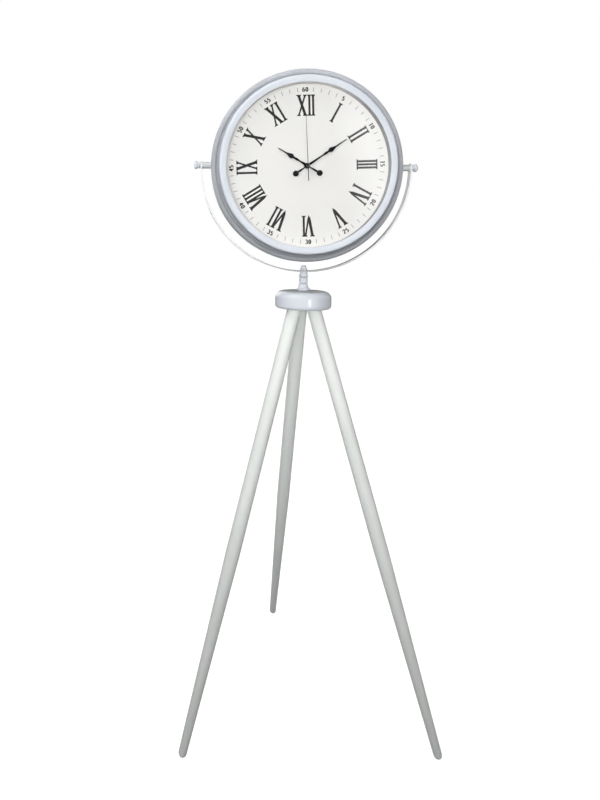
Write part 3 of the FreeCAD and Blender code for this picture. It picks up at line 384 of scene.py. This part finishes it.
# %% [markdown]
# ## Printing the dial
# The print is modelled as thin plates of ink on the card. Every stroke, of a numeral, a digit or a minute
# mark, is a ribbon: a row of points on its left edge, a row on its right, and a flat four-cornered section
# carried from the first row to the last. The plates get slightly different heights, so that two of them
# never share a face where strokes cross.

# %% Make ribbons of ink
MILLI = 0.001
CARD_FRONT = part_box("dial_plate")[0].y
HAND_AXIS = (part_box("hand_nut")[0].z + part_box("hand_nut")[1].z) / 2
INK_LOW, INK_HIGH, INK_STEP, INK_LAYERS = 0.01, 0.06, 0.006, 5
PRINT_TURN = -2.3


def on_dial(across, up_from, bearing):
    """Turns a drawing whose up is twelve o'clock by bearing degrees clockwise, about the hand axis."""
    turn = np.radians(bearing)[:, None]
    return np.stack([across * np.cos(turn) + up_from * np.sin(turn),
                     up_from * np.cos(turn) - across * np.sin(turn)], -1)


def ink_plates(name, left, right, material):
    """Closed plates from edges of shape (plates, rows, 2) in millimetres on the dial: a four-cornered section,
    left back, left front, right front, right back, goes along the rows, and both ends are capped."""
    plates, rows = left.shape[:2]
    layer = INK_HIGH + INK_STEP * (np.arange(plates) % INK_LAYERS)
    back, front = np.full((plates, rows), INK_LOW), np.repeat(layer[:, None], rows, 1)
    points = np.stack([np.stack([edge[..., 0] * MILLI, CARD_FRONT - depth * MILLI,
                                 HAND_AXIS + edge[..., 1] * MILLI], -1)
                       for edge, depth in ((left, back), (left, front), (right, front), (right, back))], 2)
    index = np.arange(plates * rows * 4).reshape(plates, rows, 4)
    onward = np.roll(index, -1, 2)
    sides = np.stack([index[:, :-1], onward[:, :-1], onward[:, 1:], index[:, 1:]], -1).reshape(-1, 4)
    caps = np.concatenate([index[:, 0, ::-1], index[:, -1]])
    mesh = bpy.data.meshes.new(name)
    mesh.from_pydata(points.reshape(-1, 3).tolist(), [], np.concatenate([sides, caps]).tolist())
    mesh.materials.append(material)
    made = bpy.data.objects.new(name, mesh)
    bpy.context.scene.collection.objects.link(made)
    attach(made, "head")
    print(f"{name}: {plates} plates, {len(mesh.polygons)} faces")


def ink(name, dark, worn):
    """Printing ink: two close tones in a fine speckle, matt."""
    made, tree, place = new_material(name)
    speckle = ramp(tree, noise(tree, place, 2200.0, 3.0), 0.35, 0.7)
    surface(tree, {"Base Color": mix(tree, speckle, dark, worn),
                   "Roughness": ramp(tree, speckle, 0, 1, 0.5, 0.7),
                   "Specular IOR Level": 0.25}, speckle, FINE_RELIEF)
    return made


numeral_ink = ink("numeral_ink", srgb(40, 39, 37), srgb(52, 51, 48))
track_ink = ink("track_ink", srgb(92, 92, 88), srgb(112, 112, 107))

# %% [markdown]
# ## Roman numerals
# Each letter is one or two straight strokes. A thick stroke falls to the right and a thin one to the left, as
# a broad pen leaves them, and an upright is in between. Ends carry a slab serif that runs into the stroke by
# a curved bracket, and the strokes of a V run out to a point. All stand with their heads to the rim.

# %% Draw the twelve numerals
FOOT, HEAD = 114.0, 162.0
STEM, THICK, THIN = 4.8, 6.4, 4.0
SERIF_OUT, SLAB, BRACKET, BRACKET_CURVE = 2.3, 1.7, 3.4, 2.4
BRACKET_ROWS = np.array([0, 0.15, 0.35, 0.6, 1])
POINT_LONG, POINT_OVER, POINT_BLUNT = 7.0, 1.6, 0.06
LETTERS = {
    "I": [(0, 0, STEM, False)],
    "V": [(0.2, -8.2, THICK, True), (-0.2, 8.2, THIN, True)],
    "X": [(7.9, -7.8, THICK, False), (-7.9, 7.8, THIN, False)],
}
NUMERALS = [
    {"I": [0]},
    {"I": [-5.0, 5.0]},
    {"I": [-7.3, 0, 7.3]},
    {"I": [-13.6], "V": [5.3]},
    {"V": [0]},
    {"V": [-1.7], "I": [9.9]},
    {"V": [-6.0], "I": [3.8, 14.2]},
    {"V": [-8.9], "I": [-0.1, 8.5, 17.1]},
    {"I": [-12.4], "X": [4.6]},
    {"X": [0]},
    {"X": [-4.8], "I": [12.6]},
    {"X": [-8.8], "I": [8.2, 16.8]},
]


def numeral_strokes():
    """Rows of foot place, head place, weight, pointed or not, and bearing, letter after letter."""
    return np.array([(middle + foot, middle + head, weight, pointed, 30 * hour)
                     for hour, letters in enumerate(NUMERALS, 1) for letter, middles in letters.items()
                     for middle in middles for foot, head, weight, pointed in LETTERS[letter]], float)


def bracketed(reach):
    """1 over the slab, then a hollow fall to 0 over the bracket: the share of the bracket that is left, to the
    power of its curve; reach is the way from the stroke's end."""
    return (1 - np.clip((reach - SLAB) / BRACKET, 0, 1)) ** BRACKET_CURVE


feet, heads, weight, pointed, bearing = (column[:, None] for column in numeral_strokes().T)
reach = np.concatenate([[0], SLAB + BRACKET_ROWS * BRACKET, [POINT_LONG]])
tall = HEAD - FOOT
rise = np.concatenate([reach, tall - reach[::-1]])[None, :]
low_end = np.where(pointed > 0, 0, bracketed(rise))
half = weight / 2 + SERIF_OUT * (low_end + bracketed(tall - rise))
half = np.where(pointed > 0, half * np.clip(POINT_BLUNT + rise / POINT_LONG, 0, 1), half)
middle = feet + (heads - feet) * rise / tall
height = FOOT + rise - np.where(pointed > 0, POINT_OVER * np.clip(1 - rise / POINT_LONG, 0, 1), 0)
turned = bearing[:, 0] + PRINT_TURN
ink_plates("roman_numerals", on_dial(middle - half, height, turned), on_dial(middle + half, height, turned),
           numeral_ink)

# %% [markdown]
# ## Minute numbers
# The small numbers stand on the minute circle, heads out over the upper half and heads in over the lower, so
# that none is upside down. Each digit is one to three pen paths of lines and ellipse arcs. The ribbon is wide
# where the pen moves up or down and narrow where it moves sideways, which gives the bold upright strokes.

# %% Draw the minute numbers
PEN_POINTS = 25
DIGIT_HIGH, DIGIT_STEP = 10.0, 7.3
PEN_WIDE, PEN_FINE = 2.8, 1.3
NUMBER_CIRCLE = 174.0
HEADS_IN = range(20, 45, 5)


def arc(middle_x, middle_y, radius_x, radius_y, start, end):
    """Points round an ellipse from start to end degrees, anticlockwise from the right."""
    angle = np.radians(np.linspace(start, end, PEN_POINTS))
    return np.stack([middle_x + radius_x * np.cos(angle), middle_y + radius_y * np.sin(angle)], -1)


def line(start, end):
    """Points along a straight run."""
    share = np.linspace(0, 1, PEN_POINTS)[:, None]
    return np.array(start) * (1 - share) + np.array(end) * share


DIGITS = {
    "0": [arc(0.30, 0.50, 0.21, 0.45, 90, 450)],
    "1": [line((0.33, 0.0), (0.33, 0.98)), line((0.33, 0.94), (0.15, 0.80)), line((0.14, 0.04), (0.52, 0.04))],
    "2": [arc(0.29, 0.70, 0.20, 0.25, 170, -42), line((0.45, 0.55), (0.08, 0.06)),
          line((0.06, 0.05), (0.54, 0.05))],
    "3": [arc(0.27, 0.73, 0.20, 0.22, 150, -90), arc(0.27, 0.27, 0.23, 0.24, 90, -150)],
    "4": [line((0.40, 0.97), (0.04, 0.28)), line((0.02, 0.28), (0.58, 0.28)), line((0.42, 0.0), (0.42, 0.98))],
    "5": [line((0.15, 0.93), (0.52, 0.93)), line((0.16, 0.96), (0.13, 0.50)),
          arc(0.27, 0.31, 0.22, 0.27, 130, -145)],
    "6": [arc(0.30, 0.29, 0.21, 0.26, 90, 450), arc(0.55, 0.33, 0.46, 0.62, 105, 180)],
}


def pen_edges(path):
    """Left and right edges of a pen path: the path plus and minus its normal times half the pen's width, which
    goes from fine to wide with the upright share of the direction."""
    ahead = np.gradient(path, axis=0)
    ahead /= np.linalg.norm(ahead, axis=1)[:, None]
    half_pen = (PEN_FINE + (PEN_WIDE - PEN_FINE) * np.abs(ahead[:, 1])) / 2
    aside = np.stack([-ahead[:, 1], ahead[:, 0]], -1) * half_pen[:, None]
    return path + aside, path - aside


lefts, rights, bearings, flips = [], [], [], []
for minute in range(5, 65, 5):
    text = str(minute)
    for place_in, digit in enumerate(text):
        shift = (place_in - len(text) / 2) * DIGIT_STEP
        for path in DIGITS[digit]:
            left_edge, right_edge = pen_edges(path * DIGIT_HIGH + (shift, -DIGIT_HIGH / 2))
            lefts.append(left_edge)
            rights.append(right_edge)
            bearings.append(6 * minute + PRINT_TURN)
            flips.append(-1 if minute in HEADS_IN else 1)
flip, bearings = np.array(flips)[:, None], np.array(bearings)
edges = [on_dial(edge[..., 0] * flip, edge[..., 1] * flip + NUMBER_CIRCLE, bearings)
         for edge in (np.array(lefts), np.array(rights))]
ink_plates("minute_numbers", *edges, numeral_ink)

# %% [markdown]
# ## Minute marks
# Between the numbers, each minute has one fine grey stroke. They are plain ribbons of two rows, all worked
# out at once from the list of minutes.

# %% Draw the minute marks
MARK_IN, MARK_OUT, MARK_HALF = 169.0, 178.5, 0.5
minutes = np.array([minute for minute in range(60) if minute % 5])
radius = np.tile([MARK_IN, MARK_OUT], (len(minutes), 1))
mark_bearing = 6.0 * minutes + PRINT_TURN
ink_plates("minute_marks", on_dial(np.full_like(radius, -MARK_HALF), radius, mark_bearing),
           on_dial(np.full_like(radius, MARK_HALF), radius, mark_bearing), track_ink)

# %% [markdown]
# ## Hands
# The hands are stamped from thin sheet and painted satin black. They take the sprayed paint too, with a finer
# peel and little shine, so that they stay dark against the card.

# %% Finish the hands
BLACK, BLACK_THIN = srgb(12, 12, 12), srgb(18, 18, 19)
black, tree, place = new_material("hand_black")
film = place_skin(tree, paint, place, Colour=BLACK, Thin=BLACK_THIN, Peel=1500.0, Gloss=0.45)
surface(tree, {"Base Color": film["Colour"], "Roughness": film["Roughness"], "Specular IOR Level": 0.2},
        film["Height"], FINE_RELIEF)
dress(black, "hour_hand", "minute_hand", "second_hand")

# %% [markdown]
# ## Metal fittings
# Screws, brackets and washers are zinc plated steel, the nuts on the dial are nickel plated, of which one shows
# as a small light ring under the seconds hand, and inside the movement there is some brass. Plating and turned
# brass both show a mottled bloom and fine wear, so they share one group.

# %% Build the bare metal group and finish the fittings
HAZE, WEAR, BLOOM_DULL = 120.0, 2500.0, 0.22
bare, given, out = new_skin("bare_metal", [
    ("Bright", "Color", (0.7, 0.7, 0.7, 1)), ("Bloom", "Color", (0.5, 0.5, 0.5, 1)),
    ("Grain", "Float", 400.0), ("Gloss", "Float", 0.3)])
crystal = add(bare, "TexVoronoi", {"Vector": given["Vector"], "Scale": given["Grain"]}).outputs["Color"]
facet = add(bare, "SeparateColor", {0: crystal}).outputs[0]
bloom = maths(bare, "MULTIPLY", facet, ramp(bare, noise(bare, given["Vector"], HAZE, 5.0), 0.3, 0.7))
dulled = maths(bare, "ADD", given["Gloss"], ramp(bare, bloom, 0.0, 1.0, 0.0, BLOOM_DULL))
bare.links.new(mix(bare, bloom, given["Bright"], given["Bloom"]), out["Colour"])
bare.links.new(dulled, out["Roughness"])
bare.links.new(noise(bare, given["Vector"], WEAR, 2.0), out["Height"])


def metal(name, bright, bloomed, grain, gloss):
    """A bare metal from two tones."""
    made, tree, place = new_material(name)
    skin = place_skin(tree, bare, place, Bright=bright, Bloom=bloomed, Grain=grain, Gloss=gloss)
    surface(tree, {"Base Color": skin["Colour"], "Roughness": skin["Roughness"], "Metallic": 1.0},
            skin["Height"], FINE_RELIEF)
    return made


dress(metal("zinc_steel", srgb(206, 208, 210), srgb(172, 175, 178), 500.0, 0.28), "retaining_brackets",
      "bracket_screws", "leg_bolts", "column_rod", "pivot_bolts", "cap_washer", "knob_washers", "dial_washer",
      "battery_contact_plus", "battery_contact_minus", "train_plate", "motor_stator", "quartz_can")
dress(metal("nickel_plate", srgb(208, 206, 200), srgb(176, 174, 168), 900.0, 0.22), "bush_nut", "hand_nut")
dress(metal("turned_brass", srgb(214, 182, 112), srgb(182, 148, 84), 900.0, 0.24), "movement_bush",
      "minute_arbor", "clutch_spring")
dress(metal("rotor_magnet", srgb(120, 121, 124), srgb(84, 85, 88), 1800.0, 0.45), "motor_rotor")

# %% [markdown]
# ## Plastics and rubber
# The movement's housing is black moulded plastic with a fine spark-eroded skin, its wheels and the thin
# washers at the joints are natural nylon, and a sheet of rubber lies between housing and board. One group
# gives the moulded skin.

# %% Build the moulded skin group and finish the plastics
RUBS, RUB_SHINE = 70.0, 0.12
FINE_MOULD, COARSE_MOULD = 1800.0, 900.0
MOULD_RELIEF, RUBBER_RELIEF = 0.00003, 0.00005
moulded, given, out = new_skin("moulded_skin", [
    ("Colour", "Color", (0.1, 0.1, 0.1, 1)), ("Rubbed", "Color", (0.15, 0.15, 0.15, 1)),
    ("Texture", "Float", 1800.0), ("Gloss", "Float", 0.5)])
rub = ramp(moulded, noise(moulded, given["Vector"], RUBS, 4.0), 0.45, 0.75)
shined = maths(moulded, "SUBTRACT", given["Gloss"], ramp(moulded, rub, 0, 1, 0.0, RUB_SHINE))
moulded.links.new(mix(moulded, rub, given["Colour"], given["Rubbed"]), out["Colour"])
moulded.links.new(shined, out["Roughness"])
moulded.links.new(noise(moulded, given["Vector"], given["Texture"], 3.0), out["Height"])


def plastic(name, colour, rubbed, gloss, texture=FINE_MOULD, relief=MOULD_RELIEF):
    """A moulded plastic or rubber."""
    made, tree, place = new_material(name)
    skin = place_skin(tree, moulded, place, Colour=colour, Rubbed=rubbed, Texture=texture, Gloss=gloss)
    surface(tree, {"Base Color": skin["Colour"], "Roughness": skin["Roughness"]}, skin["Height"], relief)
    return made


dress(plastic("black_plastic", srgb(38, 38, 40), srgb(52, 52, 54), 0.55), "movement_housing", "movement_cover",
      "set_knob")
dress(plastic("nylon", srgb(232, 230, 222), srgb(224, 221, 210), 0.45), "swivel_washer", "friction_washers",
      "hour_wheel", "setting_wheel", "centre_wheel", "third_wheel", "second_wheel", "fourth_wheel")
dress(plastic("sheet_rubber", srgb(34, 34, 34), srgb(48, 47, 46), 0.8, COARSE_MOULD, RUBBER_RELIEF),
      "movement_gasket")
dress(plastic("solder_mask", srgb(40, 104, 66), srgb(52, 120, 80), 0.4), "circuit_board")

# %% [markdown]
# ## Fibreboard back
# Seen from behind, the clock is a disc of brown fibreboard. The sheet is pressed on a wire screen, which
# leaves a fine square weave in it, and short fibres lie in all directions. The weave is the product of two
# waves, one across the board and one up it.

# %% Finish the fibreboard
SCREEN_PITCH, SCREEN_RELIEF = 0.0016, 0.00008
BROWN, BROWN_DARK, FLECK = srgb(142, 108, 76), srgb(122, 90, 62), srgb(94, 68, 46)
FLECK_SHARE = 0.6
board, tree, place = new_material("fibreboard")
swirl = ramp(tree, noise(tree, place, 90.0, 8.0), 0.3, 0.7)
fleck = ramp(tree, noise(tree, place, 1300.0, 4.0), 0.4, 0.7)
colour = mix(tree, ramp(tree, fleck, 0, 1, 0.0, FLECK_SHARE), mix(tree, swirl, BROWN, BROWN_DARK), FLECK)
waves = [wave(tree, coordinate(tree, place, axis), SCREEN_PITCH) for axis in "XZ"]
weave = ramp(tree, maths(tree, "MULTIPLY", *waves), -1.0, 1.0)
surface(tree, {"Base Color": colour, "Roughness": ramp(tree, fleck, 0, 1, 0.75, 0.9)},
        maths(tree, "ADD", weave, fleck), SCREEN_RELIEF)
dress(board, "dial_board")

# %% [markdown]
# ## Cell and winding
# The cell has a plain dark sleeve with a coppery end towards its stud and no marks. The motor's coil is fine
# enamelled wire, so its bump is a row of close grooves across the coil's length.

# %% Finish the cell and the winding
CELL_BAND, BAND_EDGE = 0.0115, 0.0002
DARK, DARK_SCUFFED = srgb(44, 46, 52), srgb(56, 58, 64)
COPPERY, COPPERY_SCUFFED = srgb(190, 132, 84), srgb(170, 114, 70)
WIRE_PITCH, WIRE_RELIEF = 0.0004, 0.0001
WIRE_LOW, WIRE_HIGH = srgb(120, 58, 30), srgb(196, 112, 64)

sleeve, tree, place = new_material("cell_sleeve")
band = ramp(tree, coordinate(tree, place, "X"), CELL_BAND - BAND_EDGE, CELL_BAND)
scuff = ramp(tree, noise(tree, place, 300.0, 5.0), 0.35, 0.7)
colour = mix(tree, band, mix(tree, scuff, DARK, DARK_SCUFFED), mix(tree, scuff, COPPERY, COPPERY_SCUFFED))
surface(tree, {"Base Color": colour, "Roughness": ramp(tree, scuff, 0, 1, 0.28, 0.42),
               "Metallic": ramp(tree, band, 0, 1, 0.2, 0.9)}, scuff, FINE_RELIEF)
dress(sleeve, "battery")

wire, tree, place = new_material("copper_winding")
groove = ramp(tree, wave(tree, coordinate(tree, place, "Z"), WIRE_PITCH), -1, 1)
colour = mix(tree, groove, WIRE_LOW, WIRE_HIGH)
surface(tree, {"Base Color": colour, "Roughness": 0.35, "Metallic": 0.9}, groove, WIRE_RELIEF)
dress(wire, "motor_coil")

# %% [markdown]
# ## Lamps
# The photograph is lit from beside the camera: round pieces are light in the middle and grey at both edges, a
# little lighter at the left, and the legs get darker toward the floor. A broad lamp in front with a narrow beam
# at the head does most of this, a smaller one near the left and one high at the left model the round pieces.
# Neither the front lamp nor the near one may be seen in the glass, also not by a ray that bounced within the
# pane, or a grey veil lies over the dial. A low strip at the right is only a reflection, the bright dot on the
# hub, and two lamps behind and at the right keep those sides readable.

# %% Set the lamps
def soft_lamp(name, place, aim, size, watts, beam=180):
    """An area lamp, size wide and high, at place that faces aim; outside its beam, in degrees, it is dark."""
    made = bpy.data.objects.new(name, bpy.data.lights.new(name, "AREA"))
    bpy.context.scene.collection.objects.link(made)
    made.data.shape = "RECTANGLE"
    made.data.size, made.data.size_y = size
    made.data.energy = watts
    made.data.spread = math.radians(beam)
    made.location = place
    made.rotation_euler = (Vector(aim) - Vector(place)).to_track_quat("-Z", "Y").to_euler()
    made.visible_camera = False
    print(f"{name}: {watts} W")
    return made


soft_lamp("high_lamp", (-1.20, -0.60, 2.90), (0, 0, 1.40), (0.8, 0.8), 4.0, 90)
broad_lamps = [soft_lamp("side_lamp", (-0.95, -1.55, 1.35), (0, 0, 1.30), (1.2, 1.2), 3.0, 90),
               soft_lamp("front_lamp", (-0.30, -2.60, 1.30), (0, 0, 1.50), (2.2, 2.2), 8.4, 50)]
for lamp in broad_lamps:
    lamp.visible_glossy = lamp.visible_transmission = False
dot_lamp = soft_lamp("dot_lamp", (0.50, -1.94, 0.772), (0, 0, 0.95), (0.34, 0.024), 4.4)
dot_lamp.visible_diffuse = False
soft_lamp("back_lamp", (-0.9, 2.4, 1.9), (0, 0, 1.0), (1.6, 1.6), 16)
soft_lamp("right_lamp", (2.6, 0.7, 1.5), (0, 0, 0.9), (1.6, 1.6), 6)

# %% [markdown]
# ## Floor
# The floor is one pale sheet just under the feet, wide enough to reach the horizon. It has to look white and
# still keep the clock's shadow, so it takes the lamps' light and gives a little of its own. A white floor would
# also throw light up at the undersides, which are grey in the photograph, so it is this pale only for rays that
# see it straight or through glass, and darker for mirrored rays and bounced light.

# %% Lay the floor
WHITE_LIGHT, NO_LIGHT = (1, 1, 1, 1), (0, 0, 0, 1)
FLOOR_HALF, FLOOR_DROP = 30.0, 0.0002
FLOOR_PALE, FLOOR_SHARES, FLOOR_GLOWS = (0.9, 0.9, 0.9, 1), (1.0, 0.4, 0.2), (0.8, 0.2, 0.0)


def ray_level(tree, seen, mirrored, bounced):
    """One value for rays that see the background straight or through glass, one for mirrored rays and one for
    bounced light."""
    rays = add(tree, "LightPath").outputs
    straight = maths(tree, "MAXIMUM", rays["Is Camera Ray"], rays["Is Transmission Ray"])
    return ramp(tree, straight, 0, 1, ramp(tree, rays["Is Glossy Ray"], 0, 1, bounced, mirrored), seen)


def sheet_of(name, corners, material):
    """A stage piece of one four-cornered face."""
    mesh = bpy.data.meshes.new(name)
    mesh.from_pydata(corners, [], [(0, 1, 2, 3)])
    mesh.materials.append(material)
    made = bpy.data.objects.new(name, mesh)
    bpy.context.scene.collection.objects.link(made)
    print(f"{name}: {made.dimensions.x:.1f} by {made.dimensions.y:.1f} by {made.dimensions.z:.1f} m")
    return made


pale, tree, _ = new_material("pale_floor")
shade = mix(tree, ray_level(tree, *FLOOR_SHARES), NO_LIGHT, FLOOR_PALE)
lit = add(tree, "BsdfDiffuse", {"Color": shade}).outputs[0]
glow = add(tree, "Emission", {"Color": WHITE_LIGHT, "Strength": ray_level(tree, *FLOOR_GLOWS)}).outputs[0]
add(tree, "OutputMaterial", {"Surface": add(tree, "AddShader", {0: lit, 1: glow}).outputs[0]})
sheet_of("floor", [(x * FLOOR_HALF, y * FLOOR_HALF, -FLOOR_DROP)
                   for x, y in ((-1, -1), (1, -1), (1, 1), (-1, 1))], pale)

# %% [markdown]
# ## Reflection card
# A pale sheen lies over the right of the glass. A lamp there would also light the clock, so the sheen is a tall
# card behind the camera instead, which only glossy surfaces and the glass see. It is dark at the left and light
# beyond a slanting line, and most of the glass mirrors its dark side and stays clear.

# %% Set the reflection card
SHEEN_Y, SHEEN_LEFT, SHEEN_RIGHT, SHEEN_TOP = -3.2, -3.0, 3.0, 3.6
SHEEN_SLANT, SHEEN_EDGE, SHEEN_GLOWS = 0.2, (1.30, 1.56), (0.03, 1.35)
graded, tree, place = new_material("graded_card")
slant = maths(tree, "ADD", coordinate(tree, place, "X"),
              maths(tree, "MULTIPLY", coordinate(tree, place, "Z"), SHEEN_SLANT))
strength = ramp(tree, slant, *SHEEN_EDGE, *SHEEN_GLOWS)
glow = add(tree, "Emission", {"Color": WHITE_LIGHT, "Strength": strength}).outputs[0]
add(tree, "OutputMaterial", {"Surface": glow})
reflector = sheet_of("reflection_card", [
    (SHEEN_LEFT, SHEEN_Y, 0), (SHEEN_LEFT, SHEEN_Y, SHEEN_TOP),
    (SHEEN_RIGHT, SHEEN_Y, SHEEN_TOP), (SHEEN_RIGHT, SHEEN_Y, 0)], graded)
reflector.visible_camera = reflector.visible_diffuse = reflector.visible_shadow = False

# %% [markdown]
# ## World
# The world is the plain white behind the clock. Like the floor it is white where it is seen and much darker for
# mirrored rays, and as light it is weak and even, so that the lamps still model the round pieces.

# %% Light the world
WORLD_LEVELS = 1.0, 0.2, 0.30
world = bpy.data.worlds.new("studio")
bpy.context.scene.world = world
world.use_nodes = True
tree = world.node_tree
tree.nodes.clear()
sky = add(tree, "Background", {"Color": WHITE_LIGHT, "Strength": ray_level(tree, *WORLD_LEVELS)})
add(tree, "OutputWorld", {"Surface": sky.outputs[0]})
bpy.context.scene.view_settings.view_transform = "Standard"
print("world levels, seen, mirrored and bounced:", *WORLD_LEVELS)
